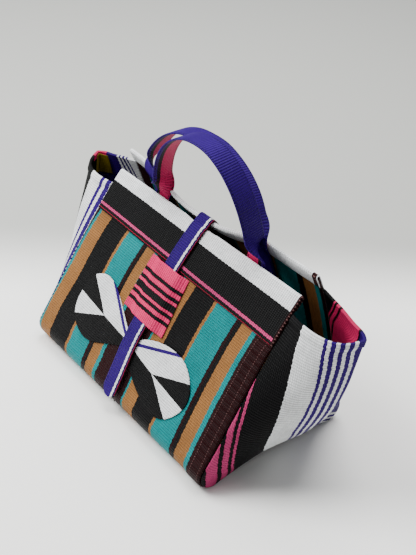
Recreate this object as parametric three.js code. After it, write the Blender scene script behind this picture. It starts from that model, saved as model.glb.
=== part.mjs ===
// Handwoven striped tote bag with folded-out side wings, standing on its base.
// Millimetres, +Z up, the front with the bow faces -Y, origin in the middle of the base on the floor.
import * as THREE from 'three';
import { mergeVertices } from 'three/addons/utils/BufferGeometryUtils.js';

// Cloth and seams
const CLOTH = 1.6;
const BAND_CLOTH = 1.2;
const TRIM_CLOTH = 1.2;
const SEAM_GAP = 0.3;

// Body panel: one cloth that runs down the front, under the base and up the back
const BASE_WIDTH = 300;
const BASE_DEPTH = 188;
const BASE_EDGE_LIFT = 11;
const BASE_FLAT_SHARE = 0.66;
const BOTTOM_RADIUS = 16;
const FRONT_RIM_WIDTH = 296;
const FRONT_RIM_HEIGHT = 182;
const FRONT_RIM_SETBACK = 20;
const FRONT_BELLY = 3;
const BACK_RIM_WIDTH = 304;
const BACK_RIM_HEIGHT = 197;
const BACK_RIM_SETBACK = 41;
const BACK_RIM_SHIFT = -6;
const BACK_BELLY = 4;

// The tab draws the back rim forward and down round its own place
const RIM_PULL = 13;
const RIM_PULL_DIP = 9;
const RIM_PULL_LEFT_SPAN = 88;
const RIM_PULL_RIGHT_SPAN = 58;

// Wings: the side gussets fold out along their middle
const WING_REACH = 65;
const WING_TIP_HEIGHT = 174;
const WING_SETBACK = 34;
const WING_FRONT_FLARE = 13;
const WING_BACK_FLARE = -3;
const WING_FOOT_START = 0.5;
const HEM_DROP = 15;
const HEM_DIP = 6;

// Bands folded over both rims
const BAND_EASE = 0.45;
const BAND_DROP = 50;
const BAND_TUCK = 12;

// Handles, flat straps sewn inside the panels
const HANDLE_WIDTH = 25;
const HANDLE_THICKNESS = 2.4;
const HANDLE_TUCK = 42;
const HANDLE_EASE = 1.4;
const HANDLE_CLEAR = 4;
const HANDLE_TWIST_RISE = 46;
const HANDLE_TWIST_START = 6;
const FRONT_HANDLE_SPAN = 155;
const FRONT_HANDLE_RISE = 107;
const FRONT_HANDLE_CENTRE = -0.5;
const FRONT_HANDLE_LEAN = -8.8;
const FRONT_HANDLE_SWAY = 8;
const BACK_HANDLE_SPAN = 174;
const BACK_HANDLE_RISE = 71;
const BACK_HANDLE_CENTRE = -16;
const BACK_HANDLE_LEAN = 6.2;
const BACK_HANDLE_SWAY = -8;

// Closing tab, the keeper patch that it slides under and the bow that it crosses
const TAB_WIDTH = 22;
const TAB_THICKNESS = 1.8;
const TAB_EASE = 0.8;
const TAB_CENTRE = -3;
const TAB_BACK_DROP = 34;
const TAB_FRONT_DROP = 203;
const TAB_LAID_SHARE = 0.9;
const TAB_END_SHARE = 0.25;
const KEEPER_WIDTH = 62;
const KEEPER_HEIGHT = 63;
const KEEPER_CENTRE = -9;
const KEEPER_SHOULDER = 9;
const KEEPER_SPLAY = 8;
const BOW_LENGTH = 98;
const BOW_HALF_HEIGHT = 35;
const BOW_KNOT_DROP = 143;
const BOW_KNOT_SHARE = 0.14;
const BOW_FULLEST = 0.66;
const BOW_SPLIT = 3;
const BOW_LEFT_TILT = -4;
const BOW_RIGHT_TILT = 9;

// Bare label inside the left wing
const LABEL_WIDTH = 15;
const LABEL_HEIGHT = 30;
const LABEL_THICKNESS = 0.8;
const LABEL_ACROSS = 0.56;
const LABEL_DOWN = 0.02;

// Face counts
const BODY_COLUMNS = 20;
const PANEL_ROWS = 12;
const ARC_ROWS = 5;
const BASE_ROWS = 6;
const WING_COLUMNS = 20;
const WING_ROWS = 14;
const STRAP_ROWS = 48;
const TAB_ROWS = 54;

// Worked-out sizes
const BAND_LIFT = CLOTH / 2 + BAND_EASE + BAND_CLOTH / 2;
const TRIM_LIFT = CLOTH / 2 + SEAM_GAP + TRIM_CLOTH / 2;
const TAB_LIFT = CLOTH / 2 + BAND_EASE + BAND_CLOTH + TAB_EASE + TAB_THICKNESS / 2;
const KEEPER_ARCH_LIFT = TAB_LIFT + TAB_THICKNESS / 2 + SEAM_GAP + TRIM_CLOTH / 2;
const HANDLE_LIFT = CLOTH / 2 + BAND_EASE + BAND_CLOTH + HANDLE_EASE + HANDLE_THICKNESS / 2;
const ACROSS = new THREE.Vector3(1, 0, 0);

// share * (1 - share) ** 2 peaks at 4 / 27, so this makes a belly its full size there
const BELLY_SCALE = 27 / 4;

const COLOURS = {
  stripes: 0x2aa39f,
  wing: 0x4b3ca8,
  band: 0x1e1f1f,
  handle: 0x3f2f96,
  tab: 0x3a2a8c,
  keeper: 0xe0638c,
  bow: 0xe6e8e8,
  label: 0x7a7000,
};

function lerp(from, to, share) {
  return from + (to - from) * share;
}

function smooth(share) {
  const clamped = Math.min(1, Math.max(0, share));
  return clamped * clamped * (3 - 2 * clamped);
}

function steps(from, to, count) {
  return Array.from({ length: count + 1 }, (_, index) => lerp(from, to, index / count));
}

// One side of the body: side is -1 at the front and 1 at the back. The straight part runs
// from the rim to where it touches the rounded bottom edge.
function makePanel(side, rimWidth, rimHeight, rimSetback, rimShift, belly, pull) {
  const centre = new THREE.Vector2(
    side * (BASE_DEPTH / 2 - CLOTH / 2 - BOTTOM_RADIUS),
    CLOTH / 2 + BOTTOM_RADIUS,
  );
  const rim = new THREE.Vector2(rimSetback, rimHeight);
  const toRim = rim.clone().sub(centre);
  const touchAngle = toRim.angle() - side * Math.acos(BOTTOM_RADIUS / toRim.length());
  const touch = new THREE.Vector2(Math.cos(touchAngle), Math.sin(touchAngle));
  touch.multiplyScalar(BOTTOM_RADIUS).add(centre);
  const length = rim.distanceTo(touch);
  const floorAngle = side < 0 ? 1.5 * Math.PI : -0.5 * Math.PI;
  return {
    side, rimWidth, rimShift, belly, pull, centre, rim, touch, length, touchAngle, floorAngle,
    arcLength: Math.abs(floorAngle - touchAngle) * BOTTOM_RADIUS,
  };
}

const frontPanel = makePanel(
  -1, FRONT_RIM_WIDTH, FRONT_RIM_HEIGHT, FRONT_RIM_SETBACK, 0, FRONT_BELLY, 0);
const backPanel = makePanel(
  1, BACK_RIM_WIDTH, BACK_RIM_HEIGHT, BACK_RIM_SETBACK, BACK_RIM_SHIFT, BACK_BELLY, 1);

// Middle surface of a panel: x from its centre line, drop measured down from the rim
function panelMiddle(panel, x, drop) {
  const share = drop / panel.length;
  if (share >= 1) {
    const angle = panel.touchAngle + ((drop - panel.length) / panel.arcLength)
      * (panel.floorAngle - panel.touchAngle);
    return new THREE.Vector3(
      x,
      panel.centre.x + BOTTOM_RADIUS * Math.cos(angle),
      panel.centre.y + BOTTOM_RADIUS * Math.sin(angle),
    );
  }
  const down = panel.touch.clone().sub(panel.rim).normalize();
  const outward = new THREE.Vector2(-down.y, down.x).multiplyScalar(panel.side);
  const bulge = BELLY_SCALE * Math.max(0, share) * (1 - share) ** 2 * panel.belly;
  const place = panel.rim.clone().lerp(panel.touch, share).addScaledVector(outward, bulge);
  const span = x < TAB_CENTRE ? RIM_PULL_LEFT_SPAN : RIM_PULL_RIGHT_SPAN;
  const pull = panel.pull * Math.exp(-((Math.abs(x - TAB_CENTRE) / span) ** 3)) * (1 - share) ** 3;
  return new THREE.Vector3(
    x + panel.rimShift * (1 - share),
    place.x - RIM_PULL * pull,
    place.y - RIM_PULL_DIP * pull,
  );
}

// Frame of a panel: point, unit normal away from the bag and unit direction up the cloth
function panelFrame(panel, x, drop) {
  const reach = 0.5;
  const point = panelMiddle(panel, x, drop);
  const up = panelMiddle(panel, x, drop - reach).sub(panelMiddle(panel, x, drop + reach)).normalize();
  const along = panelMiddle(panel, x + reach, drop).sub(panelMiddle(panel, x - reach, drop)).normalize();
  const normal = new THREE.Vector3().crossVectors(along, up).multiplyScalar(-panel.side).normalize();
  return { point, normal, up };
}

function halfWidth(panel, drop) {
  const share = smooth(drop / panel.length);
  return lerp(panel.rimWidth, BASE_WIDTH, share) / 2;
}

// The wings draw the side edges of the base off the floor, most in the middle of the depth
function baseEdgeLift(share) {
  return BASE_EDGE_LIFT * Math.sin(Math.PI * share);
}

// The whole body cloth: station 0 to 1 front panel, to 2 front rounding, to 3 base,
// to 4 back rounding, to 5 back panel; across runs from -1 at the left edge to 1 at the right
function bodyMiddle(across, station) {
  const stage = Math.min(4, Math.floor(station));
  const share = station - stage;
  if (stage === 2) {
    const edge = smooth((Math.abs(across) - BASE_FLAT_SHARE) / (1 - BASE_FLAT_SHARE));
    return new THREE.Vector3(
      across * BASE_WIDTH / 2,
      lerp(frontPanel.centre.x, backPanel.centre.x, share),
      CLOTH / 2 + edge * baseEdgeLift(share),
    );
  }
  const panel = stage < 2 ? frontPanel : backPanel;
  const drop = {
    0: share * panel.length,
    1: panel.length + share * panel.arcLength,
    3: panel.length + (1 - share) * panel.arcLength,
    4: (1 - share) * panel.length,
  }[stage];
  return panelMiddle(panel, across * halfWidth(panel, drop), drop);
}

// A closed sheet of cloth: two faces half a thickness either side of place(across, along, lift)
// and the four edges between them. The outer face looks along (along step) x (across step).
function sheet(acrossSteps, alongSteps, thickness, place) {
  const positions = [];
  const index = [];
  const columns = acrossSteps.length;
  const rows = alongSteps.length;
  for (const face of [0.5, -0.5]) {
    for (const along of alongSteps) {
      for (const across of acrossSteps) {
        positions.push(...place(across, along, face * thickness).toArray());
      }
    }
  }
  const outer = (column, row) => row * columns + column;
  const inner = (column, row) => columns * rows + outer(column, row);
  const quad = (a, b, c, d) => index.push(a, b, c, a, c, d);
  for (let row = 0; row < rows - 1; row += 1) {
    for (let column = 0; column < columns - 1; column += 1) {
      quad(outer(column, row), outer(column, row + 1), outer(column + 1, row + 1), outer(column + 1, row));
      quad(inner(column, row), inner(column + 1, row), inner(column + 1, row + 1), inner(column, row + 1));
    }
    quad(outer(0, row), inner(0, row), inner(0, row + 1), outer(0, row + 1));
    quad(outer(columns - 1, row), outer(columns - 1, row + 1), inner(columns - 1, row + 1), inner(columns - 1, row));
  }
  for (let column = 0; column < columns - 1; column += 1) {
    quad(outer(column, 0), outer(column + 1, 0), inner(column + 1, 0), inner(column, 0));
    quad(outer(column, rows - 1), inner(column, rows - 1), inner(column + 1, rows - 1), outer(column + 1, rows - 1));
  }
  const geometry = new THREE.BufferGeometry();
  geometry.setAttribute('position', new THREE.Float32BufferAttribute(positions, 3));
  geometry.setIndex(index);
  return mergeVertices(geometry, 1e-3);
}

function piece(name, geometry, colour, roughness) {
  geometry.computeVertexNormals();
  const material = new THREE.MeshStandardMaterial({ color: colour, roughness, metalness: 0 });
  const mesh = new THREE.Mesh(geometry, material);
  mesh.name = name;
  return mesh;
}

// Body panel
function makeBody() {
  const stations = [
    ...steps(0, 1, PANEL_ROWS),
    ...steps(1, 2, ARC_ROWS).slice(1),
    ...steps(2, 3, BASE_ROWS).slice(1),
    ...steps(3, 4, ARC_ROWS).slice(1),
    ...steps(4, 5, PANEL_ROWS).slice(1),
  ];
  const place = (across, station, lift) => {
    const step = 0.004;
    const low = bodyMiddle(across, Math.max(0, station - step));
    const high = bodyMiddle(across, Math.min(5, station + step));
    const side = bodyMiddle(across + step, station).sub(bodyMiddle(across - step, station));
    const normal = new THREE.Vector3().crossVectors(high.sub(low), side).normalize();
    const flat = station >= 2 && station <= 3;
    return bodyMiddle(across, station).addScaledVector(flat ? new THREE.Vector3(0, 0, -1) : normal, lift);
  };
  return sheet(steps(-1, 1, BODY_COLUMNS), stations, CLOTH, place);
}

// Wing fold, from the tip at the hem (down 0) to the middle of the base edge (down 1):
// reach beyond the base edge, setback behind the middle and height, as shares of the wing's sizes,
// round is how far each half bows out between its seam and the fold
const WING_FOLD = [
  { down: 0.0, reach: 1.0, setback: 1.0, height: 1.0, round: 0.7, flare: 1.0 },
  { down: 0.2, reach: 0.95, setback: 0.9, height: 0.82, round: 0.6, flare: 0.7 },
  { down: 0.4, reach: 0.88, setback: 0.78, height: 0.64, round: 0.5, flare: 0.4 },
  { down: 0.6, reach: 0.74, setback: 0.6, height: 0.44, round: 0.35, flare: 0.2 },
  { down: 0.8, reach: 0.4, setback: 0.32, height: 0.19, round: 0.15, flare: 0.0 },
  { down: 1.0, reach: 0.0, setback: 0.0, height: 0.0, round: 0.0, flare: 0.0 },
];

function foldValue(column, down) {
  const scaled = Math.min(1, Math.max(0, down)) * (WING_FOLD.length - 1);
  const row = Math.min(WING_FOLD.length - 2, Math.floor(scaled));
  const value = (at) => WING_FOLD[Math.min(WING_FOLD.length - 1, Math.max(0, at))][column];
  const share = scaled - row;
  const rise = (value(row + 1) - value(row - 1)) / 2;
  const nextRise = (value(row + 2) - value(row)) / 2;
  const hermite = (2 * share ** 3 - 3 * share ** 2 + 1) * value(row)
    + (share ** 3 - 2 * share ** 2 + share) * rise
    + (3 * share ** 2 - 2 * share ** 3) * value(row + 1)
    + (share ** 3 - share ** 2) * nextRise;
  return hermite;
}

// Seam between a panel and a wing, from the hem (down 0) to the base (down 1)
function seamPoint(panel, hand, down) {
  const whole = panel.length + panel.arcLength - HEM_DROP;
  const drop = HEM_DROP + whole * down;
  const clear = SEAM_GAP + CLOTH * lerp(0.2, 0.5, down);
  return panelMiddle(panel, hand * (halfWidth(panel, Math.min(drop, panel.length)) + clear), drop);
}

// Middle surface of a wing: across 0 front seam, 0.5 fold, 1 back seam; hand is 1 on the right
function wingMiddle(hand, across, down) {
  const level = Math.min(1, Math.max(0, down));
  const front = seamPoint(frontPanel, hand, level);
  const back = seamPoint(backPanel, hand, level);
  const foot = BASE_WIDTH / 2 + SEAM_GAP + CLOTH / 2;
  const fold = new THREE.Vector3(
    hand * (foot + WING_REACH * foldValue('reach', level)),
    WING_SETBACK * foldValue('setback', level),
    CLOTH / 2 + (WING_TIP_HEIGHT - CLOTH / 2) * foldValue('height', level),
  );
  const start = across < 0.5 ? front : back;
  const middle = start.clone().lerp(fold, 0.5);
  const control = middle.clone().lerp(new THREE.Vector3(fold.x, start.y, middle.z), foldValue('round', level));
  control.y += (across < 0.5 ? -WING_FRONT_FLARE : WING_BACK_FLARE) * foldValue('flare', level);
  control.z -= HEM_DIP * foldValue('flare', level);
  const share = across < 0.5 ? across * 2 : (1 - across) * 2;
  const point = start.clone().multiplyScalar((1 - share) ** 2)
    .addScaledVector(control, 2 * share * (1 - share))
    .addScaledVector(fold, share ** 2);
  point.z += baseEdgeLift(across) * smooth((level - WING_FOOT_START) / (1 - WING_FOOT_START));
  return point;
}

function wingPlace(hand) {
  return (across, down, lift) => {
    const step = 0.01;
    const level = Math.min(1 - step, Math.max(step, down));
    const column = Math.min(1 - step, Math.max(step, across));
    const fall = wingMiddle(hand, column, level + step).sub(wingMiddle(hand, column, level - step));
    const run = wingMiddle(hand, column + step, level).sub(wingMiddle(hand, column - step, level));
    const normal = new THREE.Vector3().crossVectors(fall, run).multiplyScalar(hand).normalize();
    return wingMiddle(hand, across, down).addScaledVector(normal, lift);
  };
}

function makeWing(hand) {
  const columns = hand > 0 ? steps(0, 1, WING_COLUMNS) : steps(1, 0, WING_COLUMNS);
  return sheet(columns, steps(0, 1, WING_ROWS), CLOTH, wingPlace(hand));
}

// Band over a rim: stations 0 to 1 outside up to the rim, 1 to 2 over it, 2 to 3 down inside
function bandPlace(panel) {
  return (across, station, lift) => {
    const radius = BAND_LIFT + lift;
    const drop = station < 1 ? BAND_DROP * (1 - station) : BAND_TUCK * Math.max(0, station - 2);
    const x = across * halfWidth(panel, drop);
    const { point, normal, up } = panelFrame(panel, x, drop);
    const turn = Math.PI * Math.min(1, Math.max(0, station - 1));
    return point.addScaledVector(normal, radius * Math.cos(turn))
      .addScaledVector(up, radius * Math.sin(turn));
  };
}

function makeBand(panel) {
  const stations = [...steps(0, 1, 5), ...steps(1, 2, 5).slice(1), ...steps(2, 3, 2).slice(1)];
  const ordered = panel.side < 0 ? stations.reverse() : stations;
  return sheet(steps(-1, 1, BODY_COLUMNS), ordered, BAND_CLOTH, bandPlace(panel));
}

// Handle: flat on the inside of its panel, then it turns edge-on and arches over
function handleStations(panel, span, rise, centre, lean, sway) {
  const stations = [];
  const foot = (hand, drop) => {
    const { point, normal } = panelFrame(panel, centre + hand * span / 2, drop);
    return point.addScaledVector(normal, -HANDLE_LIFT);
  };
  const spring = foot(1, -HANDLE_CLEAR);
  for (const drop of steps(HANDLE_TUCK, 0, 4)) {
    stations.push(foot(-1, drop));
  }
  const arches = 13;
  for (let index = 0; index < arches; index += 1) {
    const angle = lerp(0.03, 0.97, index / (arches - 1)) * Math.PI;
    const height = rise * Math.sin(angle);
    const x = centre + panel.rimShift - (span / 2) * Math.cos(angle) + sway * (height / rise) ** 2;
    const root = foot(Math.cos(angle) > 0 ? -1 : 1, -HANDLE_CLEAR);
    const y = lerp(root.y, spring.y, smooth(height / rise)) + height * Math.tan(lean * Math.PI / 180);
    stations.push(new THREE.Vector3(x, y, root.z + height));
  }
  for (const drop of steps(0, HANDLE_TUCK, 4)) {
    stations.push(foot(1, drop));
  }
  return new THREE.CatmullRomCurve3(stations, false, 'centripetal');
}

function makeHandle(panel, span, rise, centre, lean, sway) {
  const route = handleStations(panel, span, rise, centre, lean, sway);
  const rimHeight = panel.rim.y;
  const rimLine = (hand) => {
    const x = centre + hand * span / 2;
    return panelMiddle(panel, x + HANDLE_WIDTH / 2, 0).sub(panelMiddle(panel, x - HANDLE_WIDTH / 2, 0)).normalize();
  };
  const place = (across, along, lift) => {
    const point = route.getPointAt(along);
    const run = route.getTangentAt(along);
    const turned = smooth((point.z - rimHeight - HANDLE_TWIST_START) / HANDLE_TWIST_RISE);
    const angle = turned * Math.PI / 2;
    const hand = along < 0.5 ? -1 : 1;
    const wide = rimLine(hand).multiplyScalar(hand * panel.side * Math.cos(angle));
    wide.y += Math.sin(angle);
    wide.addScaledVector(run, -wide.dot(run)).normalize();
    const normal = new THREE.Vector3().crossVectors(run, wide).normalize();
    return point.addScaledVector(wide, across * HANDLE_WIDTH / 2).addScaledVector(normal, lift);
  };
  return sheet(steps(-1, 1, 2), steps(0, 1, STRAP_ROWS), HANDLE_THICKNESS, place);
}

// Closing tab: sewn outside the back band, over both rims and down the front
function makeTab() {
  const stations = [];
  const laid = (panel, drop) => {
    const { point, normal } = panelFrame(panel, TAB_CENTRE, drop);
    return point.addScaledVector(normal, TAB_LIFT);
  };
  const turned = (panel, degrees) => {
    const { point, normal, up } = panelFrame(panel, TAB_CENTRE, 0);
    const turn = THREE.MathUtils.degToRad(degrees);
    return point.addScaledVector(normal, TAB_LIFT * Math.cos(turn)).addScaledVector(up, TAB_LIFT * Math.sin(turn));
  };
  for (const drop of steps(TAB_BACK_DROP, 0, 5)) {
    stations.push(laid(backPanel, drop));
  }
  stations.push(turned(backPanel, 45), turned(backPanel, 90), turned(frontPanel, 45));
  const clung = frontPanel.length * TAB_LAID_SHARE;
  for (const drop of steps(0, clung, 14)) {
    stations.push(laid(frontPanel, drop));
  }
  const { up } = panelFrame(frontPanel, TAB_CENTRE, clung);
  const hanging = (TAB_FRONT_DROP - clung) / 3;
  for (let index = 1; index <= 3; index += 1) {
    stations.push(laid(frontPanel, clung).addScaledVector(up, -hanging * index));
  }
  const route = new THREE.CatmullRomCurve3(stations, false, 'centripetal');
  const shift = route.getPointAt(0).x - TAB_CENTRE;
  const roundEnd = TAB_WIDTH / 2 / route.getLength();
  const place = (across, along, lift) => {
    const point = route.getPointAt(along);
    const run = route.getTangentAt(along);
    const normal = new THREE.Vector3().crossVectors(run, ACROSS).normalize();
    const toEnd = Math.min(1, Math.max(0, along - (1 - roundEnd)) / roundEnd);
    const half = (TAB_WIDTH / 2) * Math.max(TAB_END_SHARE, Math.sqrt(1 - toEnd ** 2));
    point.x = TAB_CENTRE + shift * (1 - smooth(along * 4)) + across * half;
    return point.addScaledVector(normal, lift);
  };
  const rows = [...steps(0, 1 - roundEnd, TAB_ROWS), ...steps(1 - roundEnd, 1, 6).slice(1)];
  return sheet(steps(-1, 1, 2), rows, TAB_THICKNESS, place);
}

// Keeper patch: sewn down at both sides, arched over the tab and open above and below
function makeKeeper() {
  const place = (across, along, lift) => {
    const half = (KEEPER_WIDTH + KEEPER_SPLAY * along) / 2;
    const x = KEEPER_CENTRE + across * half;
    const drop = BAND_DROP + SEAM_GAP + KEEPER_HEIGHT * along;
    const { point, normal } = panelFrame(frontPanel, x, drop);
    const side = Math.abs(x - TAB_CENTRE) - TAB_WIDTH / 2 - SEAM_GAP - TRIM_CLOTH;
    const arch = 1 - smooth(side / KEEPER_SHOULDER);
    return point.addScaledVector(normal, lerp(TRIM_LIFT, KEEPER_ARCH_LIFT, arch) + lift);
  };
  return sheet(steps(-1, 1, 20), steps(0, 1, 6), TRIM_CLOTH, place);
}

// Bow lobe: narrow at the knot under the tab, fullest two thirds out, round at the end
function makeLobe(hand, tilt) {
  const slope = tilt * Math.PI / 180;
  const place = (across, along, lift) => {
    const half = along < BOW_FULLEST
      ? BOW_HALF_HEIGHT * lerp(BOW_KNOT_SHARE, 1, smooth(along / BOW_FULLEST))
      : BOW_HALF_HEIGHT * Math.sqrt(1 - ((along - BOW_FULLEST) / (1 - BOW_FULLEST)) ** 2);
    const out = BOW_SPLIT / 2 + BOW_LENGTH * along;
    const below = across * half;
    const x = TAB_CENTRE + hand * (out * Math.cos(slope)) - below * Math.sin(slope) * hand;
    const drop = BOW_KNOT_DROP + out * Math.sin(slope) + below * Math.cos(slope);
    const { point, normal } = panelFrame(frontPanel, x, drop);
    return point.addScaledVector(normal, TRIM_LIFT + lift);
  };
  const rows = [...steps(0, 0.9, 12), 0.94, 0.97, 0.99, 0.998];
  return sheet(hand > 0 ? steps(1, -1, 8) : steps(-1, 1, 8), rows, TRIM_CLOTH, place);
}

// Label: a small bare patch inside the back half of the left wing, near the tip
function makeLabel() {
  const place = wingPlace(-1);
  const lift = -(CLOTH / 2 + SEAM_GAP + LABEL_THICKNESS / 2);
  const wingHalf = Math.hypot(WING_REACH, WING_SETBACK);
  const fallLength = frontPanel.length + frontPanel.arcLength - HEM_DROP;
  const labelPlace = (across, along, offset) => place(
    LABEL_ACROSS + across * LABEL_WIDTH / wingHalf / 2,
    LABEL_DOWN + along * LABEL_HEIGHT / fallLength,
    lift + offset,
  );
  return sheet(steps(1, 0, 3), steps(0, 1, 4), LABEL_THICKNESS, labelPlace);
}

const bag = new THREE.Group();
bag.name = 'handwoven_tote_bag';
bag.add(piece('body_panel', makeBody(), COLOURS.stripes, 0.75));
bag.add(piece('gusset_right', makeWing(1), COLOURS.wing, 0.75));
bag.add(piece('gusset_left', makeWing(-1), COLOURS.wing, 0.75));
bag.add(piece('front_band', makeBand(frontPanel), COLOURS.band, 0.75));
bag.add(piece('back_band', makeBand(backPanel), COLOURS.band, 0.75));
bag.add(piece('front_handle', makeHandle(
  frontPanel, FRONT_HANDLE_SPAN, FRONT_HANDLE_RISE, FRONT_HANDLE_CENTRE, FRONT_HANDLE_LEAN,
  FRONT_HANDLE_SWAY,
), COLOURS.handle, 0.7));
bag.add(piece('back_handle', makeHandle(
  backPanel, BACK_HANDLE_SPAN, BACK_HANDLE_RISE, BACK_HANDLE_CENTRE, BACK_HANDLE_LEAN,
  BACK_HANDLE_SWAY,
), COLOURS.handle, 0.7));
bag.add(piece('closure_tab', makeTab(), COLOURS.tab, 0.7));
bag.add(piece('keeper_patch', makeKeeper(), COLOURS.keeper, 0.75));
bag.add(piece('bow_lobe_left', makeLobe(-1, BOW_LEFT_TILT), COLOURS.bow, 0.75));
bag.add(piece('bow_lobe_right', makeLobe(1, BOW_RIGHT_TILT), COLOURS.bow, 0.75));
bag.add(piece('label', makeLabel(), COLOURS.label, 0.8));

export default bag;
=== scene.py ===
"""Finished look of a small striped handwoven tote bag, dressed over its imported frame.

Shapes are worked out in millimetres and written to the meshes in metres.
"""

import logging
import math
from dataclasses import dataclass, field
from enum import Enum
from typing import Any, NamedTuple

import bpy
import numpy as np
from mathutils import Matrix, Vector


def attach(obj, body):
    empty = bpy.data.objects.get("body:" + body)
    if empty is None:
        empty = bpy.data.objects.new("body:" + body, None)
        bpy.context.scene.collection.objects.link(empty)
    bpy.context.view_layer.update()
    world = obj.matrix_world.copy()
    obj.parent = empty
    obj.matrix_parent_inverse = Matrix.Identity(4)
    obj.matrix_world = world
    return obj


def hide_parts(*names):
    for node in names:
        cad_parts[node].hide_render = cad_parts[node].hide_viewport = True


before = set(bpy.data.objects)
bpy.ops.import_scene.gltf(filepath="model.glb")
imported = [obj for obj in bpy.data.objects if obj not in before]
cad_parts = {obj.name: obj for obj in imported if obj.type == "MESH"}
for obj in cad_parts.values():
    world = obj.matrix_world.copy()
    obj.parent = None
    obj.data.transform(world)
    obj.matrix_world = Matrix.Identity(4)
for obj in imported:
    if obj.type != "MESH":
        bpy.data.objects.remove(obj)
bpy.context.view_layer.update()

Array = np.ndarray
Number = float | Array
METRES = 0.001

LOG = logging.getLogger("tote_bag")


# Numbers

def lerp(start: Number, end: Number, share: Number) -> Number:
    """Return the value a share of the way from start to end."""
    return start + (end - start) * share


def smooth(share: Number) -> Number:
    """Return share eased in and out between 0 and 1."""
    clamped = np.clip(share, 0.0, 1.0)
    return clamped * clamped * (3.0 - 2.0 * clamped)


def unit(vectors: Array) -> Array:
    """Return vectors scaled to length 1."""
    return vectors / np.linalg.norm(vectors, axis=-1, keepdims=True)


def grid(across: Array, along: Array) -> tuple[Array, Array]:
    """Return two matching grids, with one row for each step along."""
    return np.meshgrid(across, along)


def run_lengths(points: Array, axis: int) -> Array:
    """Return how far each point of a grid lies along its row or column, in mm."""
    steps = np.linalg.norm(np.diff(points, axis=axis), axis=-1)
    pad = [(0, 0), (0, 0)]
    pad[axis] = (1, 0)
    return np.pad(np.cumsum(steps, axis=axis), pad)


# Finishes

class Dye(Enum):
    """Yarn colours, as sRGB hex, and one pink painted darker to stand for shade."""

    WHITE = "DEE0E1"
    BLACK = "070708"
    PURPLE = "260260"
    DEEP_PURPLE = "150240"
    PINK = "D0285E"
    MALLOW = "B2386A"
    # The handle's pink, painted darker for the shade under the strap's arch.
    ROSE = "A4184A"
    CRIMSON = "9A0830"
    TAN = "865B31"
    TEAL = "007678"
    MAROON = "1E0204"
    MUSTARD = "6E5E00"
    PALE_STITCH = "745250"


def linear(code: str) -> tuple[float, float, float, float]:
    """Return an sRGB hex colour as linear RGBA."""
    channels = [int(code[at:at + 2], 16) / 255 for at in (0, 2, 4)]
    made = [c / 12.92 if c <= 0.04045 else ((c + 0.055) / 1.055) ** 2.4 for c in channels]
    return (made[0], made[1], made[2], 1.0)


def add(tree: bpy.types.NodeTree, kind: str, inputs: dict[int | str, Any] | None = None,
        **settings: Any) -> bpy.types.Node:
    """Add a shader node.

    Args:
        tree: the material's node tree.
        kind: the node's type.
        inputs: for each input, a socket to link from or a plain value.
        **settings: the node's own settings.

    Returns:
        The new node.
    """
    node = tree.nodes.new(kind)
    for key, value in settings.items():
        setattr(node, key, value)
    for key, value in (inputs or {}).items():
        if isinstance(value, bpy.types.NodeSocket):
            tree.links.new(value, node.inputs[key])
        else:
            node.inputs[key].default_value = value
    return node


class Stripe(NamedTuple):
    """A warp stripe: its dye and its width in mm."""

    dye: Dye
    width: float


def fill_ramp(ramp: bpy.types.ColorRamp, stripes: tuple[Stripe, ...], mode: str = "CONSTANT") -> None:
    """Lay stripes out along a colour ramp, each as wide as its share of the whole."""
    whole = sum(stripe.width for stripe in stripes)
    ramp.interpolation = mode
    edge = 0.0
    for at, stripe in enumerate(stripes):
        element = ramp.elements[0] if at == 0 else ramp.elements.new(edge / whole)
        element.position = edge / whole
        element.color = linear(stripe.dye.value)
        edge += stripe.width
    for spare in list(ramp.elements)[len(stripes):]:
        ramp.elements.remove(spare)


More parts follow.
